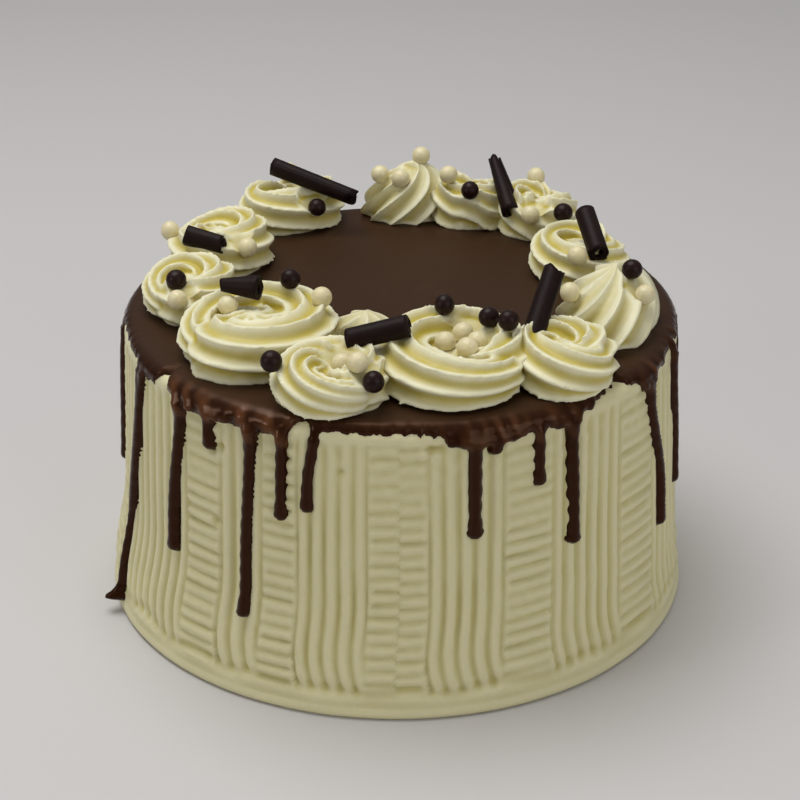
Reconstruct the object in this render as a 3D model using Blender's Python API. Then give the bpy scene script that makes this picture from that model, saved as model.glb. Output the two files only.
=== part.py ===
"""Tuxedo cake: a round cream-iced cake with a combed side, a chocolate ganache top that drips
down the side, and a ring of piped cream swirls set with chocolate rolls and sugar pearls.

The frame is in metres, +Z up, with the origin at the middle of the base on the ground, and the
front of the cake faces -Y. Sizes below are in millimetres, and angles in degrees anticlockwise
from +X seen from above, so 270 is the front.
"""

import math

import bmesh
import bpy
from mathutils import Vector
from mathutils.bvhtree import BVHTree

MM = 0.001
CLEAR = 0.35

# Iced body
WALL_TOP_RADIUS = 97.7
WALL_SLOPE = 0.05
BODY_HEIGHT = 103.6
FOOT_FLARE = 4.3
FOOT_HEIGHT = 45.0
FOOT_ROUNDING = 2.6
SHOULDER_ROUNDING = 3.6
BODY_LEVELS = (4.5, 10.4, 46.0, 98.0)
# The side stands to -X at its foot, and shifts to +X between two levels
FOOT_SHIFT = -0.6
WALL_SHIFT = 1.4
SHIFT_FROM = 16
SHIFT_TO = 42

# Marks of the comb: panels of upright ribs and panels of level ribs take turns round the side
RIB_DEPTH = 1.2
UPRIGHT_PITCH = 3.1
LEVEL_PITCH = 4.75
COMB_LOW = 9.5
COMB_HIGH = 99.0
LEVEL_PANELS = (
    (14, 24), (38, 47), (62, 72), (86, 96), (111, 120), (135, 145), (160, 170), (185, 194),
    (224, 233), (243, 250), (264, 275), (290, 300), (318, 330), (350, 358),
)

# Ganache: the level of its top, the level of its edge round the wall, and its drips
GANACHE_TOP = 105.9
GANACHE_COLUMNS = 80
EDGE = (
    (0, 101), (8, 99), (16, 102), (27, 98), (35, 103), (47, 100), (55, 97), (66, 102), (78, 99),
    (90, 103), (101, 98), (112, 101), (124, 97), (137, 102), (150, 99), (163, 103), (176, 99),
    (187, 102), (195, 102), (205, 101), (212, 99), (216.5, 104), (220, 99.5), (226, 98),
    (235, 98.5), (243, 99), (248, 100), (251.3, 104), (254, 102), (262, 101.6), (270, 102),
    (277, 101), (280, 97.5), (290, 97.5), (296, 99.5), (304, 98), (308, 100), (313, 103),
    (319, 104), (322, 101.5), (326, 98), (334, 100.5), (342, 102.5), (350, 101),
)
# Lid of the ganache: how far inside the rim its flat top ends, its bend and its crest lie, how
# deep they lie, the part of the rim's height where it stands out furthest, and its underside
FLAT_BORDER = 6.0
BEND_BORDER = 2.2
BEND_DROP = 0.9
CREST_BORDER = 0.3
CREST_DROP = 1.0
CREST_SHARE = 0.25
BELLY_SHARE = 0.3
UNDERSIDE_BORDER = 12.0
UNDERSIDE_DROP = 1.0
UNDERSIDE = 92.0
BEAD = 1.5
LUMPY_BEAD = 2.8
LUMPY_FROM = 217
LUMPY_TO = 251
LUMPS = 40
LUMP_HEIGHT = 0.3
CORE_SIDES = 72
CORE_SPARE = 0.1
# Angle at the top, angle at the tip, level of the tip, width
DRIPS = (
    (206.5, 199.5, 4.2, 6.4), (222.5, 219.7, 41.5, 5.6), (230.5, 230.5, 86.5, 5.0),
    (240.5, 239.2, 29.5, 5.2), (247.3, 247, 68.5, 5.4), (254, 252.2, 73, 5.0),
    (284, 284, 64.5, 6.0), (289, 288, 93.5, 5.0), (297, 297, 79.5, 5.2), (304.5, 305, 54.5, 5.4),
    (328, 334.5, 40, 5.4), (343, 346.5, 46, 5.2), (2, 1, 66, 5.2), (15, 16, 83, 4.8),
    (31, 30, 38, 5.4), (52, 52.5, 72, 5.2), (71, 70, 52, 5.2), (84, 84, 88, 4.8),
    (104, 105, 34, 5.4), (124, 124, 70, 5.2), (147, 146, 58, 5.2), (168, 169, 81, 5.0),
    (184, 184.5, 47, 5.4),
)
DRIP_OVERLAP = 2.0
DRIP_LIFT = 0.3
DRIP_STAND = 0.4
DRIP_SIDES = 5
# Rings of a drip: part of its width, the part of its length that it stands above the tip, and
# how many widths above the tip it stands at most
ANY = math.inf
DRIP_RINGS = (
    (1.1, 0.88, ANY), (0.8, 0.55, ANY), (0.85, 0.35, 1.1), (1.0, 0.2, 0.45), (0.6, 0.07, 0.1),
)

# Piped cream, above the ganache
SWIRL_BASE = GANACHE_TOP + CLEAR
RIDGE_DEPTH = 0.2
RIDGE_ANGLE = 45
# Angles round the rope of its foot, then of its crests and valleys in turn, the last inside
ROPE_ANGLES = (-40, -30, -7.5, 15, 37.5, 60, 82.5, 105, 130)
RING_COLUMNS = 15
# Parts of a swirl's height: where its rope is widest, and the cream inside the ring
ROPE_LEVEL = 0.33
HEART_LEVEL = 0.52
TAIL_THINNING = 0.25
# Ring swirls: place, half-sizes along and across the ring of swirls, half-width of the rope,
# height, and the angle where the rope ends
RINGS = {
    "swirl_01": ((-48, -43), 30.5, 31.5, 12.0, 18.5, 230),
    "swirl_02": ((-21.5, -77.5), 21, 21, 9.0, 17.5, 330),
    "swirl_03": ((19, -63.5), 29.5, 31, 11.0, 18.5, 355),
    "swirl_04": ((55, -64), 20, 22, 9.5, 18.0, 20),
    "swirl_06": ((67, 28), 22.5, 21, 9.5, 16.0, 60),
    "swirl_07": ((54, 69), 18.5, 16, 7.4, 19.0, 90),
    "swirl_08": ((28, 81), 18.5, 15.5, 7.2, 18.5, 120),
    "swirl_10": ((-42, 78), 23.5, 17.5, 8.0, 17.5, 160),
    "swirl_11": ((-66.5, 36), 24, 21.5, 9.8, 18.0, 200),
    "swirl_12": ((-73, -6), 22, 20.5, 9.4, 17.0, 250),
}
# Star swirls: place, half-sizes, height, twist from base to tip, lean of the tip, ridges
STARS = {
    "swirl_05": ((71, -24), 28, 18, 22.0, 35, (4, 5), 13),
    "swirl_09": ((2, 86), 18, 14.5, 22.0, 75, (5, 1), 10),
    "swirl_13": ((-13, -34), 13, 11, 11.0, 50, (2, 0), 7),
}
STAR_DEPTH = 0.14
# Reach and height at levels of a star swirl, from its foot to just under its tip
STAR_PROFILE = ((0.88, 0.0), (1.0, 0.15), (0.97, 0.36), (0.82, 0.58), (0.57, 0.77), (0.26, 0.93))
# Pairs that touch, parted by an upright plane
NEIGHBOURS = (
    ("swirl_01", "swirl_02"), ("swirl_02", "swirl_03"), ("swirl_03", "swirl_04"),
    ("swirl_04", "swirl_05"), ("swirl_05", "swirl_06"), ("swirl_06", "swirl_07"),
    ("swirl_07", "swirl_08"), ("swirl_08", "swirl_09"), ("swirl_09", "swirl_10"),
    ("swirl_10", "swirl_11"), ("swirl_11", "swirl_12"), ("swirl_12", "swirl_01"),
    ("swirl_13", "swirl_01"), ("swirl_13", "swirl_02"), ("swirl_13", "swirl_03"),
)

# The block of space that a swirl is cut from, by the swirl's larger half-size, and its height
CELL_SPAN = 3
CELL_HEIGHT = 60
CELL_SINK = 5

# Chocolate rolls: middle of one end, middle of the other, radius there and there
ROLLS = {
    "roll_01": ((-49, 80, 128.5), (-16, 68, 119.5), 4.0, 3.6),
    "roll_02": ((-77, 23, 122), (-62.5, 18, 120), 4.2, 3.6),
    "roll_03": ((-60, -33, 126), (-45.5, -35, 127), 2.6, 4.0),
    "roll_04": ((-17, -66, 120.5), (4, -67.5, 126.5), 4.2, 4.3),
    "roll_05": ((43, -60, 115), (52.5, -38, 134.5), 4.3, 4.2),
    "roll_06": ((72, 10, 119.5), (68, 31, 128.5), 4.3, 4.3),
    "roll_07": ((43, 60, 116.5), (36.5, 84, 131), 4.2, 2.6),
}
ROLL_SIDES = 10

# Pearls, each by its x and y; it rests in the cream below it
PEARL_RADIUS = 3.6
PEARL_SINK = 1.6
PEARL_SIDES = 5
PEARL_ROWS = 4
ABOVE_CAKE = 200
DARK_PEARLS = (
    (-40, -81.5), (-7.5, -89), (15.5, -46.5), (30, -54), (36, -61.5), (-36.5, -27),
    (-76.5, -16.5), (-31, 66.5), (27.5, 67.5), (61.5, 45), (80, -22.5),
)
CREAM_PEARLS = (
    (9, 88), (1, 79), (-7, 85), (19.5, 76.5), (53.5, 80.5), (50, 55), (64, 8.5), (84, -30),
    (58.5, -29), (-25.5, -37), (-57, -37.5), (-75.5, -24.5), (-54.5, 21), (-84, 36), (-17.5, -77),
    (-12.5, -85), (15.5, -62), (22.5, -68.5), (26, -61), (21.5, -54), (-43, 88.5),
)

COLOURS = {
    "cream": ((0.83, 0.79, 0.58), 0.45),
    "piped cream": ((0.9, 0.87, 0.68), 0.4),
    "ganache": ((0.045, 0.022, 0.014), 0.3),
    "chocolate": ((0.014, 0.009, 0.009), 0.4),
    "sugar": ((0.84, 0.74, 0.55), 0.35),
}


def clear_scene():
    for obj in list(bpy.data.objects):
        bpy.data.objects.remove(obj)


def make_collection(name):
    made = bpy.data.collections.new(name)
    bpy.context.scene.collection.children.link(made)
    return made


def make_material(name):
    colour, roughness = COLOURS[name]
    made = bpy.data.materials.new(name)
    made.use_nodes = True
    shader = made.node_tree.nodes["Principled BSDF"]
    shader.inputs["Base Color"].default_value = (*colour, 1)
    shader.inputs["Roughness"].default_value = roughness
    shader.inputs["Metallic"].default_value = 0
    return made


def make_object(name, bm, group, finish=None):
    """Makes an object in metres from a bmesh in millimetres, and frees the bmesh."""
    bmesh.ops.recalc_face_normals(bm, faces=bm.faces)
    bmesh.ops.scale(bm, vec=(MM, MM, MM), verts=bm.verts)
    mesh = bpy.data.meshes.new(name)
    bm.to_mesh(mesh)
    bm.free()
    mesh.shade_smooth()
    obj = bpy.data.objects.new(name, mesh)
    group.objects.link(obj)
    if finish:
        mesh.materials.append(finish)
    else:
        obj.hide_render = True
        obj.display_type = "WIRE"
    return obj


def boolean(obj, operation, other):
    """Joins, cuts or crosses obj with an object or a collection, and applies it."""
    modifier = obj.modifiers.new(operation.lower(), "BOOLEAN")
    modifier.operation = operation
    if isinstance(other, bpy.types.Collection):
        modifier.operand_type = "COLLECTION"
        modifier.collection = other
    else:
        modifier.object = other
    bpy.context.view_layer.update()
    graph = bpy.context.evaluated_depsgraph_get()
    solid = bpy.data.meshes.new_from_object(obj.evaluated_get(graph))
    obj.modifiers.clear()
    obj.data = solid


def keep_largest(obj):
    """Drops the loose scraps that a cut has left beside the solid."""
    bm = bmesh.new()
    bm.from_mesh(obj.data)
    left = set(bm.verts)
    pieces = []
    while left:
        reached = [left.pop()]
        for vert in reached:
            for edge in vert.link_edges:
                other = edge.other_vert(vert)
                if other in left:
                    left.remove(other)
                    reached.append(other)
        pieces.append(reached)
    largest = max(pieces, key=len)
    scraps = [vert for piece in pieces if piece is not largest for vert in piece]
    bmesh.ops.delete(bm, geom=scraps, context="VERTS")
    bm.to_mesh(obj.data)
    bm.free()


def remove_objects(objects):
    for obj in list(objects):
        bpy.data.objects.remove(obj)


def smoothstep(low, high, value):
    part = min(1.0, max(0.0, (value - low) / (high - low)))
    return part * part * (3 - 2 * part)


def between(points, angle):
    """The value at an angle, on straight lines between (angle, value) points round a circle."""
    around = [(points[-1][0] - 360, points[-1][1]), *points, (points[0][0] + 360, points[0][1])]
    for (a, low), (b, high) in zip(around, around[1:]):
        if a <= angle <= b:
            return low + (high - low) * (angle - a) / (b - a)
    raise ValueError(angle)


def polar(radius, angle, z):
    turn = math.radians(angle)
    return Vector((radius * math.cos(turn), radius * math.sin(turn), z))


def angle_of(vert):
    return math.degrees(math.atan2(vert.co.y, vert.co.x)) % 360


# Body of the cake


def wall_radius(z):
    """Radius to the crests of the comb marks at a level, with the flared foot."""
    flare = FOOT_FLARE * max(0.0, 1 - z / FOOT_HEIGHT) ** 1.5
    return WALL_TOP_RADIUS + WALL_SLOPE * (BODY_HEIGHT - z) + flare


def wall_shift(z):
    """How far the side stands to +X of the origin at a level."""
    return FOOT_SHIFT + WALL_SHIFT * smoothstep(SHIFT_FROM, SHIFT_TO, z)


def wall_columns():
    """Angles of the upright lines of the side, and what each is: crest, valley or level."""
    columns = []
    for index, (low, high) in enumerate(LEVEL_PANELS):
        after = LEVEL_PANELS[(index + 1) % len(LEVEL_PANELS)][0]
        if after < high:
            after += 360
        ribs = round((after - high) / UPRIGHT_PITCH)
        columns += [(low, "level"), (high, "level")]
        for step in range(1, 2 * ribs):
            kind = "valley" if step % 2 else "crest"
            columns.append((high + (after - high) * step / (2 * ribs), kind))
    return columns


def level_ribs():
    """Levels of the crests and valleys of the level ribs, from a crest up to a crest."""
    count = 2 * math.floor((COMB_HIGH - COMB_LOW) / LEVEL_PITCH)
    start = (COMB_HIGH + COMB_LOW - count * LEVEL_PITCH / 2) / 2
    return [start + step * LEVEL_PITCH / 2 for step in range(count + 1)]


def relief(kind, z):
    """How far the comb has cut in at a level of a line of this kind."""
    if not COMB_LOW < z < COMB_HIGH or kind == "crest":
        return 0.0
    if kind == "valley":
        return RIB_DEPTH
    return RIB_DEPTH * (1 - math.cos(2 * math.pi * (z - level_ribs()[0]) / LEVEL_PITCH)) / 2


def split_level(bm, faces, level):
    """Cuts the faces at a level, and gives the faces that they have become."""
    parts = set(faces)
    for face in faces:
        parts.update(face.edges)
        parts.update(face.verts)
    cut = bmesh.ops.bisect_plane(
        bm, geom=list(parts), dist=0.0001, plane_co=(0, 0, level), plane_no=(0, 0, 1)
    )
    return [item for item in cut["geom"] if isinstance(item, bmesh.types.BMFace)]


def make_body(group, finish):
    columns = wall_columns()
    count = len(columns)
    bm = bmesh.new()
    bmesh.ops.create_cone(
        bm, cap_ends=True, segments=count, radius1=1, radius2=1, depth=BODY_HEIGHT
    )
    bmesh.ops.translate(bm, vec=(0, 0, BODY_HEIGHT / 2), verts=bm.verts)
    first = angle_of(bm.verts[:][0])

    def column_of(vert):
        return round((angle_of(vert) - first) * count / 360) % count

    side = [face for face in bm.faces if len(face.verts) == 4]
    for level in BODY_LEVELS:
        side = split_level(bm, side, level)
    panels = [
        face for face in side
        if all(columns[column_of(vert)][1] == "level" for vert in face.verts)
    ]
    for level in level_ribs():
        panels = split_level(bm, panels, level)
    for vert in bm.verts:
        angle, kind = columns[column_of(vert)]
        z = vert.co.z
        radius = wall_radius(z) - relief(kind, z)
        if z < 0.1:
            radius -= FOOT_ROUNDING
        elif z > COMB_HIGH:
            radius -= SHOULDER_ROUNDING
        vert.co = polar(radius, angle, z) + Vector((wall_shift(z), 0, 0))
    return make_object("cake_body", bm, group, finish)


def make_core(group):
    """The smooth space that the body takes, with clearance, which cuts the ganache."""
    levels = (0, *BODY_LEVELS, BODY_HEIGHT)
    bm = bmesh.new()
    bmesh.ops.create_uvsphere(
        bm, u_segments=CORE_SIDES, v_segments=len(levels) + 1, radius=1
    )
    for vert in bm.verts:
        row = round(math.acos(max(-1, min(1, -vert.co.z))) / math.pi * (len(levels) + 1)) - 1
        z = levels[max(0, min(row, len(levels) - 1))]
        radius = wall_radius(z) + CLEAR + CORE_SPARE
        if z > COMB_HIGH:
            radius -= SHOULDER_ROUNDING
        if row < 0 or row >= len(levels):
            radius = 0
        lift = CLEAR if z == levels[-1] else 0
        vert.co = polar(radius, angle_of(vert), z + lift) + Vector((wall_shift(z), 0, 0))
    return make_object("core", bm, group)


# Ganache


def bead_stand(angle):
    """How far the ganache stands out at its edge."""
    stand = LUMPY_BEAD if LUMPY_FROM < angle < LUMPY_TO else BEAD
    return stand * (1 + LUMP_HEIGHT * math.cos(math.radians(angle * LUMPS)))


def lid_profile(angle):
    """Radius and level of each row of the lid, from the middle of its top to that below."""
    edge = between(EDGE, angle)
    stand = bead_stand(angle)
    rim = WALL_TOP_RADIUS + stand
    drop = GANACHE_TOP - edge
    return (
        (0, GANACHE_TOP),
        (rim - FLAT_BORDER, GANACHE_TOP),
        (rim - BEND_BORDER, GANACHE_TOP - BEND_DROP),
        (rim - CREST_BORDER, GANACHE_TOP - CREST_DROP - CREST_SHARE * drop),
        (rim, edge + BELLY_SHARE * drop),
        (rim - stand / 2, edge),
        (rim - UNDERSIDE_BORDER, edge - UNDERSIDE_DROP),
        (0, UNDERSIDE),
    )


def make_lid(group, finish):
    """The ganache's top and rim, as a lid that is still solid below."""
    bm = bmesh.new()
    rows = len(lid_profile(0)) - 1
    bmesh.ops.create_uvsphere(bm, u_segments=GANACHE_COLUMNS, v_segments=rows, radius=1)
    for vert in bm.verts:
        angle = angle_of(vert)
        row = round(math.acos(max(-1, min(1, vert.co.z))) / math.pi * rows)
        radius, z = lid_profile(angle)[row]
        vert.co = polar(radius, angle, z) + Vector((wall_shift(z), 0, 0))
    return make_object("ganache", bm, group, finish)


def make_drip(name, drip, group):
    """A run of ganache with a narrow neck and a round tip, along the wall."""
    top_angle, tip_angle, tip, width = drip
    length = between(EDGE, top_angle) + DRIP_OVERLAP - tip
    rows = len(DRIP_RINGS) + 1
    bm = bmesh.new()
    bmesh.ops.create_uvsphere(bm, u_segments=DRIP_SIDES, v_segments=rows, radius=1)
    for vert in bm.verts:
        row = round(math.acos(max(-1, min(1, vert.co.z))) / math.pi * rows)
        size, share, widths = ((0, 1, ANY), *DRIP_RINGS, (0, 0, 0))[row]
        around = math.atan2(vert.co.y, vert.co.x) + math.pi / 2
        above = min(share * length, widths * width)
        turn = top_angle + (tip_angle - top_angle) * smoothstep(0, 0.8, 1 - above / length)
        radius = wall_radius(tip + above) + DRIP_LIFT + DRIP_STAND * width * size * math.sin(around)
        side = math.degrees(math.cos(around) * size * width / 2 / radius)
        vert.co = polar(radius, turn + side, tip + above)
        vert.co.x += wall_shift(vert.co.z)
    return make_object(name, bm, group)


def make_ganache(group, cutters, finish):
    ganache = make_lid(group, finish)
    drips = make_collection("drips")
    for index, drip in enumerate(DRIPS):
        make_drip(f"drip_{index + 1:02d}", drip, drips)
    boolean(ganache, "UNION", drips)
    remove_objects(drips.objects)
    bpy.data.collections.remove(drips)
    boolean(ganache, "DIFFERENCE", make_core(cutters))
    return ganache


# Piped swirls


def swirl_axes(place):
    """The directions along and across the ring of swirls at a place."""
    across = Vector((place[0], place[1], 0)).normalized()
    return Vector((-across.y, across.x, 0)), across


def make_ring(name, swirl, group, finish):
    """A rope of cream piped round in a ring: its ridges run out round it and meet its tail."""
    place, along, across, width, height, end = swirl
    axis_along, axis_across = swirl_axes(place)
    start = math.degrees(math.atan2(axis_along.y, axis_along.x))
    rows = len(ROPE_ANGLES) + 1
    bm = bmesh.new()
    bmesh.ops.create_uvsphere(bm, u_segments=RING_COLUMNS, v_segments=rows, radius=1)
    for vert in bm.verts:
        row = round(math.acos(max(-1, min(1, -vert.co.z))) / math.pi * rows) - 1
        run = angle_of(vert) / 360
        turn = math.radians(end + 360 * run - start)
        size = 1 - TAIL_THINNING * smoothstep(0.75, 1, run)
        if row < 0 or row == len(ROPE_ANGLES):
            offset = Vector((0, 0, height * HEART_LEVEL if row > 0 else 0))
        else:
            around = math.radians(ROPE_ANGLES[row] + (RIDGE_ANGLE * (1 - run) if row else 0))
            reach = size * (1 - RIDGE_DEPTH * (row % 2 == 0 and row > 0))
            out = width * reach * math.cos(around)
            up = height * (ROPE_LEVEL + (1 - ROPE_LEVEL) * reach * math.sin(around))
            low = height * HEART_LEVEL if around > math.pi / 2 else 0
            offset = axis_along * (along - width + out) * math.cos(turn)
            offset -= axis_across * (across - width + out) * math.sin(turn)
            offset.z = max(low, up) if row else 0
        vert.co = Vector((*place, SWIRL_BASE)) + offset
    return make_object(name, bm, group, finish)


def make_star(name, star, group, finish):
    """A piped star: ridges that climb and twist from its foot to its tip."""
    place, along, across, height, twist, lean, ridges = star
    axis_along, axis_across = swirl_axes(place)
    bm = bmesh.new()
    rows = len(STAR_PROFILE) + 1
    bmesh.ops.create_uvsphere(bm, u_segments=2 * ridges, v_segments=rows, radius=1)
    for vert in bm.verts:
        row = round(math.acos(max(-1, min(1, -vert.co.z))) / math.pi * rows)
        turn = math.atan2(vert.co.y, vert.co.x)
        reach, level = ((0.0, 0.0), *STAR_PROFILE, (0.0, 1.0))[row]
        column = round(turn * ridges / math.pi)
        reach *= 1 - STAR_DEPTH * (column % 2)
        turn += math.radians(twist) * level
        vert.co = Vector((*place, SWIRL_BASE + height * level))
        vert.co += axis_along * along * reach * math.cos(turn)
        vert.co += axis_across * across * reach * -math.sin(turn)
        vert.co += Vector((*lean, 0)) * level
    return make_object(name, bm, group, finish)


def parting(first, second):
    """The upright plane between two swirls: a point on it, and the way to the second."""
    a, b = {**RINGS, **STARS}[first], {**RINGS, **STARS}[second]
    start, way = Vector((*a[0], 0)), Vector((*b[0], 0)) - Vector((*a[0], 0))
    share = reach_towards(a, way) / (reach_towards(a, way) + reach_towards(b, way))
    return start + way * share, way.normalized()


def reach_towards(swirl, way):
    """Half-size of a swirl along a direction."""
    axis_along, axis_across = swirl_axes(swirl[0])
    way = way.normalized()
    return math.hypot(swirl[1] * way.dot(axis_along), swirl[2] * way.dot(axis_across))


def make_cell(name, group):
    """The upright block of space that a swirl keeps to, between its neighbours."""
    place, along, across = {**RINGS, **STARS}[name][:3]
    size = CELL_SPAN * max(along, across)
    bm = bmesh.new()
    bmesh.ops.create_cube(bm, size=1)
    bmesh.ops.scale(bm, vec=(size, size, CELL_HEIGHT), verts=bm.verts)
    middle = SWIRL_BASE - CELL_SINK + CELL_HEIGHT / 2
    bmesh.ops.translate(bm, vec=(*place, middle), verts=bm.verts)
    for pair in NEIGHBOURS:
        if name not in pair:
            continue
        point, way = parting(*pair)
        side = 1 if name == pair[0] else -1
        cut = bmesh.ops.bisect_plane(
            bm,
            geom=bm.verts[:] + bm.edges[:] + bm.faces[:],
            plane_co=point - way * side * CLEAR / 2,
            plane_no=way * side,
            clear_outer=True,
        )
        edges = [item for item in cut["geom_cut"] if isinstance(item, bmesh.types.BMEdge)]
        bmesh.ops.contextual_create(bm, geom=edges)
    return make_object(name + "_cell", bm, group)


def make_swirls(group, cutters, finish):
    swirls = []
    for name, swirl in RINGS.items():
        swirls.append(make_ring(name, swirl, group, finish))
    for name, star in STARS.items():
        swirls.append(make_star(name, star, group, finish))
    for swirl in swirls:
        boolean(swirl, "INTERSECT", make_cell(swirl.name, cutters))
    return swirls


# Rolls and pearls


def make_roll(name, roll, group, finish=None, spare=0.0):
    start, end = Vector(roll[0]), Vector(roll[1])
    way = end - start
    bm = bmesh.new()
    bmesh.ops.create_cone(
        bm,
        cap_ends=True,
        segments=ROLL_SIDES,
        radius1=roll[2] + spare,
        radius2=roll[3] + spare,
        depth=way.length + 2 * spare,
    )
    turn = way.to_track_quat("Z", "Y").to_matrix()
    bmesh.ops.rotate(bm, matrix=turn, verts=bm.verts)
    bmesh.ops.translate(bm, vec=(start + end) / 2, verts=bm.verts)
    return make_object(name, bm, group, finish)


def make_pearl(name, centre, group, finish=None, spare=0.0):
    bm = bmesh.new()
    bmesh.ops.create_uvsphere(
        bm, u_segments=PEARL_SIDES, v_segments=PEARL_ROWS, radius=PEARL_RADIUS + spare
    )
    bmesh.ops.translate(bm, vec=centre, verts=bm.verts)
    return make_object(name, bm, group, finish)


def cream_level(trees, x, y):
    """The highest cream at a place on the top."""
    levels = [SWIRL_BASE]
    for tree in trees:
        hit = tree.ray_cast(Vector((x, y, ABOVE_CAKE)) * MM, Vector((0, 0, -1)))[0]
        if hit:
            levels.append(hit.z / MM)
    return max(levels)


def surface_tree(obj):
    graph = bpy.context.evaluated_depsgraph_get()
    return BVHTree.FromObject(obj, graph)


def main():
    clear_scene()
    cake = make_collection("tuxedo_cake")
    cutters = make_collection("cutters")
    finishes = {name: make_material(name) for name in COLOURS}
    make_body(cake, finishes["cream"])
    make_ganache(cake, cutters, finishes["ganache"])
    swirls = make_swirls(cake, cutters, finishes["piped cream"])
    bpy.context.view_layer.update()
    trees = [surface_tree(swirl) for swirl in swirls]
    seats = make_collection("seats")
    for name, roll in ROLLS.items():
        make_roll(name, roll, cake, finishes["chocolate"])
        make_roll(name + "_seat", roll, seats, spare=CLEAR)
    for kind, finish, places in (
        ("dark_pearl", "chocolate", DARK_PEARLS),
        ("cream_pearl", "sugar", CREAM_PEARLS),
    ):
        for index, (x, y) in enumerate(places):
            z = cream_level(trees, x, y) + PEARL_RADIUS - PEARL_SINK
            name = f"{kind}_{index + 1:02d}"
            make_pearl(name, (x, y, z), cake, finishes[finish])
            make_pearl(name + "_seat", (x, y, z), seats, spare=CLEAR)
    for swirl in swirls:
        boolean(swirl, "DIFFERENCE", seats)
        keep_largest(swirl)
    remove_objects(seats.objects)
    bpy.data.collections.remove(seats)
    remove_objects(cutters.objects)


if __name__ == "__main__":
    main()
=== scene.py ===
"""Looks of a tuxedo cake: combed cream icing, dripping ganache, piped swirls, rolls and pearls.

Sizes are in millimetres, and angles in degrees anticlockwise from +X seen from above, so 270 is
the front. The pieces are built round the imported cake, which gives the places of the pearls.
"""

import math
from collections import namedtuple

import bmesh
import bpy
import numpy as np
from bpy.props import FloatProperty, FloatVectorProperty, IntProperty
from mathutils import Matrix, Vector


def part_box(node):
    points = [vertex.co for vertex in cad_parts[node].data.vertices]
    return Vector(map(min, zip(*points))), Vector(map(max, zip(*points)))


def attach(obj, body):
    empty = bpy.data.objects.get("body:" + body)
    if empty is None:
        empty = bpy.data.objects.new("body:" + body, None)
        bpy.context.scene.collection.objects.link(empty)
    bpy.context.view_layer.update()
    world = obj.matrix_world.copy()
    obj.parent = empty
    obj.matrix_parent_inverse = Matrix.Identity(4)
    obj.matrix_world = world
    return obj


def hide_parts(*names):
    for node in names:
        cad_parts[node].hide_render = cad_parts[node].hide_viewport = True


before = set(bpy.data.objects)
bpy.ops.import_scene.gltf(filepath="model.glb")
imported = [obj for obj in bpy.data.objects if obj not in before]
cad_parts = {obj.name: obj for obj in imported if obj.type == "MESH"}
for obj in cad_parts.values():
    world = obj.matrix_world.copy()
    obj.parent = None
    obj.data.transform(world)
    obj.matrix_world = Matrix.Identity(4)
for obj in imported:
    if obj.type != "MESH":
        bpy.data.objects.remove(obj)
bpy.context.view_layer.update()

bl_info = {
    "name": "Tuxedo Cake",
    "version": (1, 0, 0),
    "blender": (4, 5, 0),
    "location": "View3D > Sidebar > Cake",
    "description": "Builds a tuxedo cake with combed icing, ganache drips and piped swirls",
    "category": "Add Mesh",
}

MM = 0.001
BODY = "root"
# Radius at which the pitch of marks round the side is measured
MEAN_RADIUS = 100

# Iced side
WALL_TOP_RADIUS = 97.7
WALL_SLOPE = 0.05
BODY_HEIGHT = 103.6
FOOT_FLARE = 4.3
FOOT_HEIGHT = 45.0
FOOT_ROUNDING = 2.6
SHOULDER = 3.6
# Rows of its mesh, from 0 under the base to 1 on top, where the wall starts and ends
WALL_ROWS = (0.06, 0.95)
LIP_LEVEL = 4.8
# Levels between which the comb has cut
COMB_LOW = 8.5
COMB_HIGH = 98.5
# Panels of level marks, from and to angle: uprights fill the rest
LEVEL_PANELS = (
    (14, 24), (38, 47), (62, 72), (86, 96), (111, 120), (135, 145), (160, 170), (185, 194),
    (224, 233), (243, 250), (264, 275), (290, 300), (318, 330), (350, 358),
)
# Level panels whose marks are in two columns, half a pitch apart
STEPPED_PANELS = ((86, 96), (160, 170), (264, 275))
# Small faults: angle, level, half-width, half-height, depth
FAULTS = (
    (276, 97, 3.2, 1.1, 1.5), (274.2, 96.3, 1.6, 2.2, -0.7), (233, 88.5, 2.0, 1.2, 1.3),
    (231, 86, 1.8, 1.0, 1.0), (232, 60.5, 1.7, 1.1, 1.5), (259, 88.5, 1.2, 1.0, 0.8),
    (57, 80, 2.2, 1.2, 1.2), (128, 44, 2.0, 1.3, 1.3), (152, 90, 2.6, 1.0, 1.2),
)
FAULT_DEPTH = 1.4

# Ganache
GANACHE_TOP = 105.9
# Rows of its mesh, from the middle of the top, where the flat top and the rounded rim end
FLAT_ROWS = 0.06
ROUND_ROWS = 0.12
RIM_START = WALL_TOP_RADIUS - 4.5
RIM_BEND = 4.0
# Level of its edge by angle
EDGE = (
    (0, 101), (8, 99), (16, 102), (27, 98), (35, 103), (47, 100), (55, 97), (66, 102), (78, 99),
    (90, 103), (101, 98), (112, 101), (124, 97), (137, 102), (150, 99), (163, 103), (176, 99),
    (187, 102), (195, 102), (205, 101), (212, 99), (216.5, 104), (220, 99.5), (226, 98),
    (235, 98.5), (243, 99), (248, 100), (251.3, 104), (254, 102), (262, 101.6), (270, 102),
    (277, 101), (280, 97.5), (290, 97.5), (296, 99.5), (304, 98), (308, 100), (313, 103),
    (319, 104), (322, 101.5), (326, 98), (334, 100.5), (342, 102.5), (350, 101),
)
# The edge rounds off over a width; beyond it the skin dips under the icing for a margin
EDGE_WIDTH = 2.3
EDGE_DIP = 2.2
EDGE_MARGIN = 1.3
# How far drips stand out, and the bead at the rim where it is even and where it is lumpy
DRIP_STAND = 1.85
BEAD = 1.5
LUMPY_BEAD = 2.8
# Stretches where the bead is lumpy: from and to angle, and how much
LUMPY = ((217, 251, 1.0), (281, 312, 0.55), (324, 350, 0.5), (140, 160, 0.5), (40, 75, 0.4))
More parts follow.
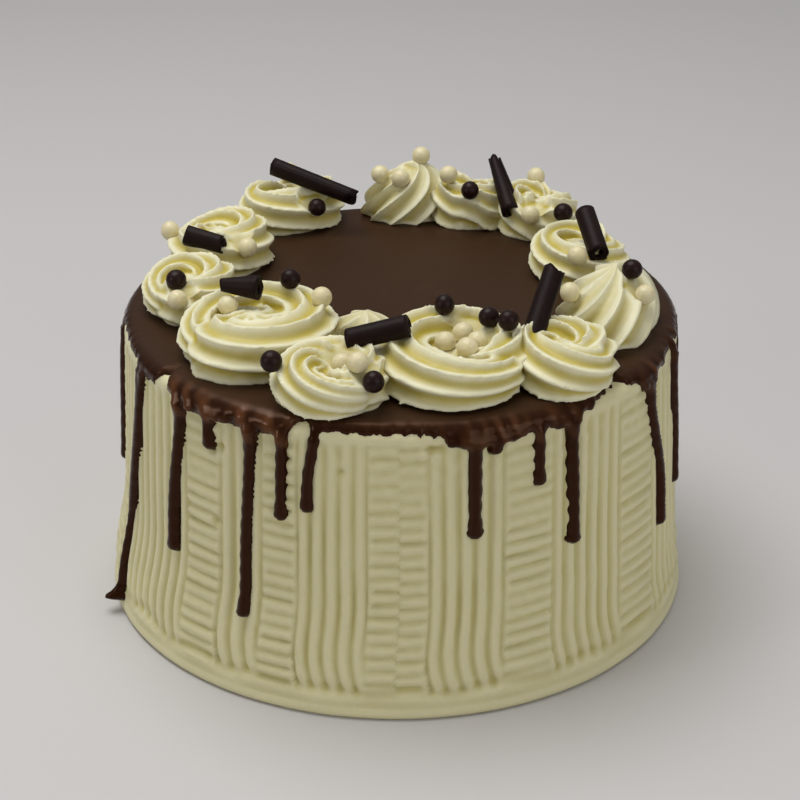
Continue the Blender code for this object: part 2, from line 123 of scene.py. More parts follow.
# The long drip by its angle at the top, and the blob that it ends in
LONG_DRIP = 206.5
BLOB_ANGLE = 199.5
BLOB_LEVEL = 5.5
BLOB_STAND = 4.2
# Drips with a serrated edge, by their angles at the top
SERRATED = (206.5, 222.5, 240.5, 328, 31, 104)
# Drips: angle at the top, angle at the tip, level of the tip, width
DRIPS = (
    (206.5, 199.5, 4.2, 6.4), (222.5, 219.7, 41.5, 5.6), (230.5, 230.5, 86.5, 5.0),
    (240.5, 239.2, 29.5, 5.2), (247.3, 247, 68.5, 5.4), (254, 252.2, 73, 5.0),
    (284, 284, 64.5, 6.0), (289, 288, 93.5, 5.0), (297, 297, 79.5, 5.2), (304.5, 305, 54.5, 5.4),
    (328, 334.5, 40, 5.4), (343, 346.5, 46, 5.2), (2, 1, 66, 5.2), (15, 16, 83, 4.8),
    (31, 30, 38, 5.4), (52, 52.5, 72, 5.2), (71, 70, 52, 5.2), (84, 84, 88, 4.8),
    (104, 105, 34, 5.4), (124, 124, 70, 5.2), (147, 146, 58, 5.2), (168, 169, 81, 5.0),
    (184, 184.5, 47, 5.4),
)

# Level that the swirls stand on, and how far rings and stars reach into the ganache
SWIRL_BASE = 106.25
RING_SINK = 0.6
STAR_SINK = 0.4
# Ring swirls: place, half-sizes along and across the ring of swirls, half-width of the rope,
# height, the angle where the rope ends, how often the ridges wind round it, the level of the
# cream in the middle as a part of the height, the side where the rope is thicker, and how much
Ring = namedtuple(
    "Ring", "place along across rope height end windings heart side uneven",
    defaults=(0.58, 270, 0.0),
)
RINGS = {
    "swirl_01": Ring((-48, -43), 30.5, 31.5, 12.0, 18.5, 230, 1.5, 0.82, 250, 0.12),
    "swirl_02": Ring((-21.5, -77.5), 21, 21, 9.0, 17.5, 330, 6, side=140, uneven=0.3),
    "swirl_03": Ring((19, -63.5), 29.5, 31, 11.0, 18.5, 355, 2, side=265, uneven=0.1),
    "swirl_04": Ring((55, -64), 20, 22, 9.5, 18.0, 20, 4, 0.76, 300, 0.25),
    "swirl_06": Ring((67, 28), 22.5, 21, 9.5, 16.0, 60, 3, 0.76, 300, 0.15),
    "swirl_07": Ring((54, 69), 18.5, 16, 7.4, 19.0, 90, 5),
    "swirl_08": Ring((28, 81), 18.5, 15.5, 7.2, 18.5, 120, 5),
    "swirl_10": Ring((-42, 78), 23.5, 17.5, 8.0, 17.5, 160, 3, 0.8, 280, 0.1),
    "swirl_11": Ring((-66.5, 36), 24, 21.5, 9.8, 18.0, 200, 3, 0.78, 250, 0.15),
    "swirl_12": Ring((-73, -6), 22, 20.5, 9.4, 17.0, 250, 4, 0.74),
}
ROPE_LEVEL = 0.33
ROPE_TURNS = 1.3
# Part of the rope that leads out from the middle before it goes round
ROPE_LEAD = (ROPE_TURNS - 1) / ROPE_TURNS
ROPE_RIDGES = 9
RIDGE_SHARPNESS = 0.8
HEART_FOLDS = 7
HEART_TWIST = 2.4
# Steps round and along the rope, and the cream in the middle
ROPE_STEPS = (96, 260)
HEART_STEPS = (48, 24)
# Star swirls: place, half-sizes, height, twist from base to tip, lean of the tip, ridges
Star = namedtuple("Star", "place along across height twist lean ridges")
STARS = {
    "swirl_05": Star((71, -24), 28, 18, 22.0, 70, (4, 5), 9),
    "swirl_09": Star((2, 86), 18, 14.5, 22.0, 75, (5, 1), 10),
    "swirl_13": Star((-13, -34), 13, 11, 11.0, 50, (2, 0), 7),
}
# Steps round a star for each ridge, and from its foot to its tip
STAR_STEPS = (16, 60)
# Level of a star swirl at each reach from its foot to its tip
STAR_PROFILE = (
    (0.90, 0.0), (0.97, 0.07), (1.0, 0.15), (0.99, 0.26), (0.96, 0.37), (0.90, 0.48),
    (0.82, 0.59), (0.71, 0.69), (0.57, 0.78), (0.42, 0.86), (0.27, 0.92), (0.12, 0.97),
)

# Chocolate rolls: middle of one end, middle of the other, radius there and there, and how far
# the second end is torn
Roll = namedtuple("Roll", "start end start_radius end_radius torn")
ROLLS = {
    "roll_01": Roll((-49, 80, 128.5), (-16, 68, 119.5), 4.0, 3.6, 1.4),
    "roll_02": Roll((-77, 23, 122), (-62.5, 18, 120), 4.2, 3.6, 0.6),
    "roll_03": Roll((-60, -33, 126), (-46, -37, 126.6), 2.6, 4.7, 0.3),
    "roll_04": Roll((-17, -66, 120.5), (4, -67.5, 126.5), 4.2, 4.3, 0.3),
    "roll_05": Roll((43, -60, 115), (52.5, -38, 134.5), 4.3, 4.2, 2.2),
    "roll_06": Roll((72, 10, 119.5), (68, 31, 128.5), 4.3, 4.3, 0.6),
    "roll_07": Roll((43, 60, 116.5), (36.5, 84, 131), 4.2, 2.6, 2.0),
}
# A roll's windings and their pitch in sheets, how far its first end is torn, how far its ends
# stay inside its length, and steps across and along its sheet
SCROLL_TURNS = 2.1
SCROLL_PITCH = 1.25
FIRST_TORN = 0.45
END_GAP = 0.3
SCROLL_STEPS = (120, 14)
PEARL_RADIUS = 3.6
# How far cream reaches round a pearl, how deep a pearl sits in it, and the most it is lifted
PEARL_REACH = 2.2 * PEARL_RADIUS
PEARL_HOLD = 0.8
MOST_LIFT = 6

# Camera and stage
CAMERA_PLACE = (0.6, -663, 393)
CAMERA_PITCH = 26.2
CAMERA_LENS = 91.3
SENSOR_WIDTH = 36
FLOOR_SIZE = 8000
FLOOR_GAP = 0.2
SKY_COLOUR = (1, 0.985, 0.97, 1)
# Lights: place, width, and power as a part of the main light's
LIGHTS = {
    "key": ((-250, 150, 1200), 900, 1.0),
    "fill": ((800, -900, 500), 900, 0.32),
    "side": ((-900, -500, 450), 350, 0.15),
}


# Helpers


def smoothstep(low, high, value):
    part = np.clip((np.asarray(value, float) - low) / (high - low), 0, 1)
    return part * part * (3 - 2 * part)


def span(low, high, outer, inner, value):
    """1 between two limits, fading to 0 from inside each limit to outside it."""
    rise = smoothstep(low - outer, low + inner, value)
    return rise * smoothstep(high + outer, high - inner, value)


def smooth_max(a, b, blend):
    """The larger of two fields, with their crossing rounded over the blend distance."""
    share = np.clip(0.5 + 0.5 * (a - b) / blend, 0, 1)
    return b + (a - b) * share + blend * share * (1 - share)


def between(points, angle):
    """Values at angles, on smooth steps between (angle, value) points round a circle."""
    places, values = np.array(points, float).T
    places = np.concatenate([places[-1:] - 360, places, places[:1] + 360])
    values = np.concatenate([values[-1:], values, values[:1]])
    index = np.clip(np.searchsorted(places, angle, side="right") - 1, 0, len(places) - 2)
    part = smoothstep(places[index], places[index + 1], angle)
    return values[index] * (1 - part) + values[index + 1] * part


def turn_from(centre, angle):
    """Angles counted from a centre, from -180 to 180."""
    return (angle - centre + 180) % 360 - 180


def arc_from(centre, angle, radius):
    """Distance round the side from a centre angle, in millimetres."""
    return turn_from(centre, angle) * math.pi / 180 * radius


def waves(seed, angle, level, pitch, count=7):
    """Gentle seeded unevenness between -1 and 1 over the side, repeating round the cake."""
    draw = np.random.default_rng(seed)
    total = np.zeros(np.broadcast(angle, level).shape)
    for _ in range(count):
        turns = round(2 * math.pi * MEAN_RADIUS / pitch * draw.uniform(0.6, 1.4))
        rise = draw.uniform(-1, 1) * 2 * math.pi / pitch
        total += np.sin(np.radians(angle) * turns + level * rise + draw.uniform(0, 2 * math.pi))
    return total / count


def sphere_grid(columns, rows):
    """A closed mesh in rows from pole to pole, with each vertex's turn (0-1) and row (0-1)."""
    bm = bmesh.new()
    bmesh.ops.create_grid(bm, x_segments=columns, y_segments=rows, size=0.5)
    flat = np.array([vert.co for vert in bm.verts])
    around, tilt = flat[:, 0] * 2 * math.pi, flat[:, 1] * math.pi
    ball = np.stack([np.cos(tilt) * np.cos(around), np.cos(tilt) * np.sin(around), np.sin(tilt)])
    for vert, place in zip(bm.verts, ball.T):
        vert.co = place
    closing = [v for v, place in zip(bm.verts, np.abs(flat).max(axis=1)) if place > 0.4999]
    bmesh.ops.remove_doubles(bm, verts=closing, dist=0.00001)
    places = np.array([vert.co for vert in bm.verts])
    turn = np.arctan2(places[:, 1], places[:, 0]) / (2 * math.pi) % 1
    row = np.round(np.arccos(np.clip(-places[:, 2], -1, 1)) / math.pi * rows) / rows
    return bm, turn, row


def make_piece(name, bm, places=None):
    """Makes an object from a bmesh whose vertices go to places in millimetres."""
    if places is not None:
        for vert, place in zip(bm.verts, np.asarray(places) * MM):
            vert.co = place
    bmesh.ops.recalc_face_normals(bm, faces=bm.faces)
    if bm.calc_volume(signed=True) < 0:
        bmesh.ops.reverse_faces(bm, faces=bm.faces)
    mesh = bpy.data.meshes.new(name)
    bm.to_mesh(mesh)
    bm.free()
    mesh.shade_smooth()
    obj = bpy.data.objects.new(name, mesh)
    bpy.context.scene.collection.objects.link(obj)
    return obj


def bake_modifiers(obj):
    """Applies the object's modifiers to its mesh."""
    bpy.context.view_layer.update()
    graph = bpy.context.evaluated_depsgraph_get()
    mesh = bpy.data.meshes.new_from_object(obj.evaluated_get(graph))
    obj.modifiers.clear()
    old = obj.data
    obj.data = mesh
    bpy.data.meshes.remove(old)
    mesh.shade_smooth()


def read(items, field, width, kind=np.float32):
    """A field of a mesh's vertices, edges or normals, one row for each."""
    values = np.empty(len(items) * width, kind)
    items.foreach_get(field, values)
    return values.reshape(-1, width)


def mesh_places(mesh):
    """Places of a mesh's vertices, in millimetres."""
    return read(mesh.vertices, "co", 3).astype(float) / MM


def edge_ends(mesh):
    return read(mesh.edges, "vertices", 2, np.int64)


def set_places(mesh, places):
    mesh.vertices.foreach_set("co", (places * MM).astype(np.float32).ravel())
    mesh.update()


def set_attribute(mesh, name, values):
    """Stores one number a vertex for the material to read."""
    layer = mesh.attributes.get(name) or mesh.attributes.new(name, "FLOAT", "POINT")
    layer.data.foreach_set("value", np.asarray(values, np.float32))


def neighbour_mean(values, ends, count):
    """The mean of each vertex's neighbours."""
    here = ends.ravel()
    there = ends[:, ::-1].ravel()
    number = np.maximum(np.bincount(here, minlength=count), 1)
    columns = values.reshape(count, -1)
    total = [np.bincount(here, weights=column[there], minlength=count) for column in columns.T]
    return (np.stack(total, axis=1) / number[:, None]).reshape(values.shape)


def relax(mesh, rounds, factor=0.5):
    places, ends = mesh_places(mesh), edge_ends(mesh)
    for _ in range(rounds):
        places += factor * (neighbour_mean(places, ends, len(places)) - places)
    set_places(mesh, places)


def mark_valleys(mesh, depth, rounds=6):
    """Stores how hollow the surface is at each vertex, from 0 on crests to 1 in valleys, as the
    mask where the finish paints shade into the hollows.
    """
    places, ends = mesh_places(mesh), edge_ends(mesh)
    normals = read(mesh.vertex_normals, "vector", 3)
    around = places
    for _ in range(rounds):
        around = 0.5 * around + 0.5 * neighbour_mean(around, ends, len(places))
    hollow = np.einsum("ij,ij->i", around - places, normals) / depth
    for _ in range(2):
        hollow = neighbour_mean(hollow, ends, len(places))
    set_attribute(mesh, "valley", np.clip(0.5 + 0.5 * hollow, 0, 1))


def add_skin(obj, thickness, offset):
    """Gives an open sheet its thickness, in metres."""
    skin = obj.modifiers.new("skin", "SOLIDIFY")
    skin.thickness = thickness
    skin.offset = offset
    bake_modifiers(obj)


def hand_in(obj, finish, slot, *nodes):
    """Gives a piece its finish, and lets it stand for its nodes."""
    obj.data.materials.clear()
    obj.data.materials.append(finish)
    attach(obj, BODY)
    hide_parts(*nodes)


def length_property(name, description, default):
    return FloatProperty(name=name, description=description, default=default, unit="LENGTH")


def colour_property(name, description, default):
    return FloatVectorProperty(
        name=name, description=description, default=default, subtype="COLOR", min=0, max=1
    )


# Finishes


class Nodes:
    """Short ways to add and join the nodes of a tree."""

    def __init__(self, tree):
        self.tree = tree

    def add(self, kind, **values):
        node = self.tree.nodes.new(kind)
        for name, value in values.items():
            setattr(node, name, value)
        return node

    def join(self, start, end):
        self.tree.links.new(start, end)

    def fill(self, socket, value):
        """Joins an output to a socket, or sets the socket to a number or a colour."""
        if isinstance(value, bpy.types.NodeSocket):
            self.join(value, socket)
        else:
            socket.default_value = value if np.isscalar(value) else (*value, 1)

    def remap(self, value, *limits):
        """Maps a value from the first two limits to the last two."""
        node = self.add("ShaderNodeMapRange")
        for name, limit in zip(("From Min", "From Max", "To Min", "To Max"), limits):
            node.inputs[name].default_value = limit
        self.join(value, node.inputs["Value"])
        return node.outputs["Result"]

    def mix(self, share, first, second):
        node = self.add("ShaderNodeMix", data_type="RGBA")
        for name, value in (("Factor", share), ("A", first), ("B", second)):
            self.fill(node.inputs[name], value)
        return node.outputs["Result"]

    def maths(self, operation, first, second):
        node = self.add("ShaderNodeMath", operation=operation)
        for socket, value in zip(node.inputs, (first, second)):
            self.fill(socket, value)
        return node.outputs["Value"]

    def attribute(self, name):
        return self.add("ShaderNodeAttribute", attribute_name=name).outputs["Fac"]

    def bump(self, height, distance):
        node = self.add("ShaderNodeBump")
        node.inputs["Distance"].default_value = distance
        self.join(height, node.inputs["Height"])
        return node.outputs["Normal"]


def new_material(name, roughness, subsurface=0.0, radius=(1, 1, 1), scale=0.0, specular=0.5):
    made = bpy.data.materials.new(name)
    made.use_nodes = True
    nodes = Nodes(made.node_tree)
    shader = made.node_tree.nodes["Principled BSDF"]
    for socket, value in (
        ("Roughness", roughness), ("Subsurface Weight", subsurface), ("Subsurface Radius", radius),
        ("Subsurface Scale", scale), ("Specular IOR Level", specular), ("Coat Roughness", 0.2),
    ):
        shader.inputs[socket].default_value = value
    return made, nodes, shader


def surface_group():
    """The fine surface that every finish shares: a height of soft mottles and fine grain."""
    name = "Food surface"
    if name in bpy.data.node_groups:
        return bpy.data.node_groups[name]
    tree = bpy.data.node_groups.new(name, "ShaderNodeTree")
    tree.interface.new_socket("Vector", in_out="INPUT", socket_type="NodeSocketVector")
    for socket in ("Mottle Scale", "Grain Scale", "Grain"):
        tree.interface.new_socket(socket, in_out="INPUT", socket_type="NodeSocketFloat")
    for socket in ("Mottle", "Height"):
        tree.interface.new_socket(socket, in_out="OUTPUT", socket_type="NodeSocketFloat")
    nodes = Nodes(tree)
    given = nodes.add("NodeGroupInput")
    out = nodes.add("NodeGroupOutput")
    mottle = nodes.add("ShaderNodeTexNoise")
    grain = nodes.add("ShaderNodeTexNoise")
    for node, scale in ((mottle, "Mottle Scale"), (grain, "Grain Scale")):
        node.inputs["Detail"].default_value = 3
        nodes.join(given.outputs["Vector"], node.inputs["Vector"])
        nodes.join(given.outputs[scale], node.inputs["Scale"])
    fine = nodes.maths("MULTIPLY", grain.outputs["Fac"], given.outputs["Grain"])
    nodes.join(mottle.outputs["Fac"], out.inputs["Mottle"])
    nodes.join(nodes.maths("ADD", mottle.outputs["Fac"], fine), out.inputs["Height"])
    return tree


def place_surface(nodes, mottle_scale, grain_scale, grain):
    """Puts the shared surface in a material: gives its mottle and its height."""
    node = nodes.add("ShaderNodeGroup", node_tree=surface_group())
    for name, value in (
        ("Mottle Scale", mottle_scale), ("Grain Scale", grain_scale), ("Grain", grain),
    ):
        node.inputs[name].default_value = value
    coordinates = nodes.add("ShaderNodeTexCoord").outputs["Object"]
    nodes.join(coordinates, node.inputs["Vector"])
    return node.outputs["Mottle"], node.outputs["Height"]


def icing_finish(name, colour, valley_colour, bump):
    """Cream: a soft, slightly see-through skin, with shade painted into its hollows as a darker,
    yellower colour.
    """
    made, nodes, shader = new_material(
        name, roughness=0.42, subsurface=0.2, radius=(1.0, 0.75, 0.4), scale=0.002, specular=0.35
    )
    mottle, height = place_surface(nodes, 45, 420, 0.5)
    # Painted shade: the hollows take the darker, yellower valley colour, standing in for shade and
    # light bounced between the cream walls
    valley = nodes.remap(nodes.attribute("valley"), 0.36, 0.85, 0.0, 1.0)
    tone = nodes.remap(mottle, 0.3, 0.7, 0.0, 0.25)
    mixed = nodes.mix(tone, colour, [c * s for c, s in zip(colour, (0.94, 0.93, 0.84))])
    nodes.join(nodes.mix(valley, mixed, valley_colour), shader.inputs["Base Color"])
    nodes.join(nodes.remap(mottle, 0.3, 0.7, 0.36, 0.5), shader.inputs["Roughness"])
    nodes.join(nodes.bump(height, bump), shader.inputs["Normal"])
    return made


def ganache_finish(top_colour, drip_colour, highlight_colour):
    """Ganache: matt where it lies on top, glossy and darker at the rim and in the drips, with warm
    highlights painted on the crests of the rim's lumps.
    """
    made, nodes, shader = new_material("ganache", roughness=0.3, specular=0.2)
    shader.inputs["Specular Tint"].default_value = (1.0, 0.5, 0.26, 1)
    mottle, height = place_surface(nodes, 30, 300, 0.15)
    pool = nodes.attribute("pool")
    lump_highlight = nodes.remap(nodes.attribute("lump_highlight"), 0.3, 0.8, 0.0, 0.8)
    gloss = nodes.maths("SUBTRACT", 1.0, pool)
    shine = nodes.remap(lump_highlight, 0, 0.8, 0.05, 0.3)
    nodes.join(nodes.maths("MULTIPLY", gloss, shine), shader.inputs["Coat Weight"])
    # Painted highlight: warm colour on the crests of the rim's lumps, standing in for warm
    # reflections
    rim = nodes.mix(lump_highlight, drip_colour, highlight_colour)
    nodes.join(nodes.mix(pool, rim, top_colour), shader.inputs["Base Color"])
    rough = nodes.remap(pool, 0, 1, 0.2, 0.5)
    uneven = nodes.remap(mottle, 0.3, 0.7, -0.05, 0.05)
    nodes.join(nodes.maths("ADD", rough, uneven), shader.inputs["Roughness"])
    nodes.join(nodes.bump(height, 0.0003), shader.inputs["Normal"])
    return made


def chocolate_finish(name, colour, roughness, specular, streaks):
    """Dark chocolate with a soft sheen, and faint streaks along a roll."""
    made, nodes, shader = new_material(name, roughness=roughness, specular=specular)
    mottle, height = place_surface(nodes, 200, 900, 0.5)
    brown = [c * s + a for c, s, a in zip(colour, (1.6, 1.4, 1.2), (0.004, 0.002, 0.001))]
    nodes.join(nodes.mix(mottle, colour, brown), shader.inputs["Base Color"])
    if streaks:
        fine = nodes.maths("MULTIPLY", nodes.attribute("streak"), 0.22)
        height = nodes.maths("ADD", fine, height)
    nodes.join(nodes.bump(height, 0.00015), shader.inputs["Normal"])
    return made


def sugar_finish(colour):
    """Sugar pearls: hard, pale and a little uneven."""
    made, nodes, shader = new_material(
        "cream pearl", roughness=0.38, subsurface=0.2, radius=(1, 0.8, 0.5), scale=0.002
    )
    mottle, height = place_surface(nodes, 220, 900, 0.5)
    dull = [c * s for c, s in zip(colour, (0.92, 0.88, 0.8))]
    nodes.join(nodes.mix(mottle, colour, dull), shader.inputs["Base Color"])
    nodes.join(nodes.bump(height, 0.0004), shader.inputs["Normal"])
    return made


# Iced side


def wall_radius(z):
    """Radius to the crests of the comb marks at a level, with the flared foot."""
    flare = FOOT_FLARE * np.maximum(0.0, 1 - z / FOOT_HEIGHT) ** 1.5
    return WALL_TOP_RADIUS + WALL_SLOPE * (BODY_HEIGHT - z) + flare


def wall_shift(z):
    """How far the side stands to +X of the origin at a level."""
    return 1.4 * smoothstep(16, 42, z) - 0.6


def side_places(angle, radius, z):
    """Places round the side at an angle, a radius and a level."""
    turn = np.radians(angle)
    return np.stack([radius * np.cos(turn) + wall_shift(z), radius * np.sin(turn), z], axis=1)


def upright_marks(angle, z, pitch):
    """Depth, from 0 to 1, of the upright ribs' valleys: narrow between broad round ribs."""
    bend = -1.3 * np.clip((26 - z) / 16, 0, 1) ** 2
    angle = (angle + 0.25 * waves(11, angle, z, 60) + bend) % 360
    marks = np.zeros(angle.shape)
    for index, (_, high) in enumerate(LEVEL_PANELS):
        after = LEVEL_PANELS[(index + 1) % len(LEVEL_PANELS)][0]
        width = (after - high) % 360
        ribs = round(width / pitch)
        along = (angle - high) % 360
        phase = along / width * ribs
        marks = np.where(along <= width, (0.5 + 0.5 * np.cos(2 * math.pi * phase)) ** 2, marks)
    return marks


def level_marks(angle, z, pitch):
    """Depth of the short level grooves, uneven in length and place, and the level panels."""
    draw = np.random.default_rng(17)
    marks = np.zeros(angle.shape)
    inside = np.zeros(angle.shape)
    for low, high in LEVEL_PANELS:
        offset, slope, split = draw.uniform(0, 1), *draw.uniform(-1, 1, 2)
        count = int(BODY_HEIGHT / pitch) + 4
        starts, stops, depths = draw.uniform(-0.8, 0.8, (3, count))
        here = turn_from(low, angle) + low
        middle = (low + high) / 2 + 1.5 * split
        shift = offset + 0.25 * slope * (here - middle) / (high - low)
        if (low, high) in STEPPED_PANELS:
            shift = shift + 0.4 * smoothstep(middle - 0.2, middle + 0.2, here)
        steps = z / pitch + shift + 0.06 * waves(23, angle, z, 60)
        index = np.clip(np.round(steps).astype(int) + 1, 0, count - 1)
        part = steps - np.round(steps)
        begin, finish = low + starts[index], high + stops[index]
        reach = span(begin, finish, 0.3, 0.5, here)
        groove = np.exp(-((part / 0.16) ** 2)) - 0.3 * np.exp(-(((part + 0.3) / 0.12) ** 2))
        marks += reach * groove * (0.75 + 0.4 * depths[index])
        inside = np.maximum(inside, span(low, high, 0.6, 0.6, here))
    return marks, inside


def comb_relief(angle, z, settings):
    """How deep the comb has cut at each place of the side: deeper low down than under the top."""
    upright = upright_marks(angle, z, settings.upright_pitch)
    level, inside = level_marks(angle, z, settings.level_pitch / MM)
    depth = settings.rib_depth / MM * (1 + 0.35 * waves(5, angle, z, 35))
    depth = depth * (0.62 + 0.38 * smoothstep(90, 55, z))
    low = COMB_LOW + 1.4 * waves(8, angle, 0 * z, 18)
    high = COMB_HIGH + 3.0 * waves(9, angle, 0 * z, 20)
    reach = smoothstep(low - 1.2, low + 1.6, z) * smoothstep(high + 2.5, high - 3.5, z)
    return depth * reach * (0.1 + upright * (1 - inside) + level * inside)


def icing_faults(angle, z):
    """Tears and dimples, as depth, and rough cream just under the ganache."""
    rough = waves(51, angle, 2.5 * z, 9, 9) * (0.5 + 0.5 * waves(52, angle, z, 30))
    depth = 0.5 * rough * smoothstep(80, 92, z)
    depth += 0.12 * waves(53, angle, z, 6, 9) * smoothstep(14, 20, z)
    for place, level, half_width, half_height, deep in FAULTS:
        across = arc_from(place, angle, MEAN_RADIUS)
        spread = (across / half_width) ** 2 + ((z - level) / half_height) ** 2
        depth += FAULT_DEPTH * deep * np.exp(-spread)
    return depth


def icing_places(angle, row, settings):
    """Places of the iced side: its base, its foot and lip, the combed wall and its top."""
    low, high = WALL_ROWS
    z = BODY_HEIGHT * np.clip((row - low) / (high - low), 0, 1)
    radius = wall_radius(z) - comb_relief(angle, z, settings) - icing_faults(angle, z)
    radius += 0.3 * waves(2, angle, z, 70) * smoothstep(6, 20, z) - 0.1
    lip = np.exp(-(((z - LIP_LEVEL) / 3.0) ** 2))
    radius += lip * (0.6 * waves(4, angle, 0 * z, 30) - 0.9)
    radius -= 0.9 * np.exp(-(((z - 10 - 2.2 * waves(14, angle, 0 * z, 35)) / 2.2) ** 2))
    radius -= 0.3 * smoothstep(6, 2, z)
    foot = np.clip((3.0 - z) / 3.0, 0, 1)
    radius -= FOOT_ROUNDING * (1 - np.sqrt(1 - foot ** 2))
    shoulder = np.clip((z - BODY_HEIGHT + SHOULDER) / SHOULDER, 0, 1)
    radius -= SHOULDER * (1 - np.sqrt(1 - shoulder ** 2))
    radius *= np.clip(row / low, 0, 1) * np.clip((1 - row) / (1 - high), 0, 1)
    return side_places(angle, radius, z)


class CakeIcing(bpy.types.PropertyGroup):
    """Sizes and colours of the iced side."""

    rib_depth: length_property("Rib depth", "Depth of the comb marks", 0.0014)
    upright_pitch: FloatProperty(
        name="Upright pitch", description="Degrees from one upright rib to the next", default=3.1
    )
    level_pitch: length_property("Level pitch", "From one level rib to the next", 0.00475)
    columns: IntProperty(name="Columns", description="Steps round the side", default=860, min=60)
    rows: IntProperty(name="Rows", description="Steps up the side", default=112, min=20)
    colour: colour_property("Colour", "Colour of the icing", (0.74, 0.69, 0.43))
    # Painted shade: the darker, yellower colour mixed into the comb marks
    valley: colour_property("Valley colour", "Colour in the comb marks", (0.56, 0.50, 0.20))


class CAKE_OT_icing(bpy.types.Operator):
    """Build the combed icing of the side"""

    bl_idname = "cake.icing"
    bl_label = "Iced Side"

    def execute(self, context):
        settings = context.scene.cake_icing
        bm, turn, row = sphere_grid(settings.columns, settings.rows)
        side = make_piece("iced_side", bm, icing_places(turn * 360, row, settings))
        mark_valleys(side.data, depth=0.35)
        finish = icing_finish("cream icing", settings.colour, settings.valley, 0.0005)
        hand_in(side, finish, "cream", "cake_body")
        return {"FINISHED"}


# Ganache


def drip_half_width(top_angle, half, part, across, above, z):
    """Half-width of a drip: broad at the top, slim below and fuller at the tip."""
    neck = 0.3 if top_angle == LONG_DRIP else 0.05
    slim = half * (0.7 + 0.35 * (1 - smoothstep(0, 0.2, part)) - neck * smoothstep(0.55, 0.7, part))
    slim = slim + 0.18 * half * smoothstep(8, 2, above)
    slim = slim + 0.15 * np.sin(z * 1.1 + 40 * top_angle)
    if top_angle in SERRATED:
        slim = slim + np.where(across > 0, 0.75 * np.abs(np.sin(z * 1.5)) ** 0.7 - 0.2, 0)
    return slim


def drip_field(angle, z, drip):
    """How far inside a drip each place of the side is, in millimetres."""
    top_angle, tip_angle, tip, width = drip
    top = between(EDGE, top_angle % 360) + 3
    part = np.clip((top - z) / (top - tip), 0, 1)
    centre = top_angle + (tip_angle - top_angle) * smoothstep(0, 0.8, part)
    across = arc_from(centre, angle, wall_radius(z))
    above = z - tip
    half = width / 2
    beside = drip_half_width(top_angle, half, part, across, above, z) - np.abs(across)
    bulb = 0.94 * half
    below = bulb - np.hypot(across, z - (tip + bulb))
    field = np.where(above > bulb, np.minimum(beside, above), below)
    return np.where(z > top, np.minimum(field, top - z + 2), field)


def ganache_field(angle, z):
    """How far inside the ganache each place of the side is, in millimetres."""
    torn = np.abs(waves(31, angle, 0 * z, 11)) + 0.3 * np.abs(waves(33, angle, 0 * z, 4))
    edge = between(EDGE, angle) + 2.2 * torn - 0.9
    field = z - edge
    for drip in DRIPS:
        field = smooth_max(field, drip_field(angle, z, drip), 1.6)
    return field


def blob_stand(angle, z):
    """How far the blob at the end of the long drip stands out."""
    across = arc_from(BLOB_ANGLE, angle, wall_radius(z))
    return BLOB_STAND * np.exp(-(across ** 2 + (z - BLOB_LEVEL) ** 2) / 8)


def rim_stand(angle):
    """How far the ganache stands out at its rim, where it is lumpy in some stretches."""
    lumpy = np.zeros(angle.shape)
    for low, high, much in LUMPY:
        lumpy += much * span(low, high, 1, 2, angle)
    return BEAD + (LUMPY_BEAD - BEAD) * lumpy, lumpy


def ganache_bed(row):
    """Radius and level of the cake under the ganache, and how far it faces out and up."""
    side_top = BODY_HEIGHT - RIM_BEND
    arc = np.clip((row - FLAT_ROWS) / (ROUND_ROWS - FLAT_ROWS), 0, 1) * math.pi / 2
    on_side = side_top * (1 - (row - ROUND_ROWS) / (1 - ROUND_ROWS))
    z = np.where(row < ROUND_ROWS, side_top + RIM_BEND * np.cos(arc), on_side)
    wall = wall_radius(np.minimum(z, side_top))
    rim = RIM_START + RIM_BEND * np.sin(arc)
    radius = np.where(row < FLAT_ROWS, RIM_START * row / FLAT_ROWS, rim)
    radius = np.where(row < ROUND_ROWS, np.minimum(radius, wall), wall)
    return radius, z, np.sin(arc), np.where(row < ROUND_ROWS, np.cos(arc), 0.0)


def ganache_stand(angle, z, row, near_rim):
    """How far the ganache stands off its bed, and the mask of the highlights painted on the crests
    of its lumps near the rim.
    """
    stand, lumpy = rim_stand(angle)
    folds = np.cos(math.radians(1) * angle * 58 + 0.6 * z + 4 * waves(44, angle, z, 30))
    ripple = waves(41, angle, z, 6.5, 9) * (1 - 0.4 * lumpy) + 0.5 * lumpy * folds
    lumps = ripple * (0.35 + 0.45 * lumpy) * smoothstep(FLAT_ROWS * 0.9, ROUND_ROWS, row)
    height = DRIP_STAND + (stand + lumps - DRIP_STAND) * near_rim + blob_stand(angle, z)
    on_top = GANACHE_TOP - BODY_HEIGHT
    height = np.where(row < FLAT_ROWS, on_top, height)
    blend = smoothstep(FLAT_ROWS * 0.85, ROUND_ROWS, row)
    height = on_top * (1 - blend) + height * blend
    return height, (0.5 + 0.5 * ripple) * near_rim * (0.6 + 0.4 * lumpy)


def ganache_places(angle, row):
    """Places of the ganache's outside, how far each is inside its edge, and its two masks: the matt
    top, and the painted highlights on the rim's lumps.
    """
    radius, z, outward, upward = ganache_bed(row)
    field = ganache_field(angle, z)
    height, lump_highlight = ganache_stand(angle, z, row, smoothstep(88, 99, z))
    inside = np.clip(field / EDGE_WIDTH, 0, 1)
    thick = np.where(field > 0, height * np.sqrt(1 - (1 - inside) ** 2), 1.5 * field)
    thick = np.where(row < FLAT_ROWS, height, np.maximum(thick, -EDGE_DIP))
    level = z + thick * upward
    level = level + 0.12 * waves(43, angle, radius, 60) * (row < FLAT_ROWS)
    places = side_places(angle, radius + thick * outward, level)
    pool = smoothstep(ROUND_ROWS * 0.85, FLAT_ROWS * 0.93, row)
    return places, np.where(row < ROUND_ROWS, np.inf, field), pool, lump_highlight


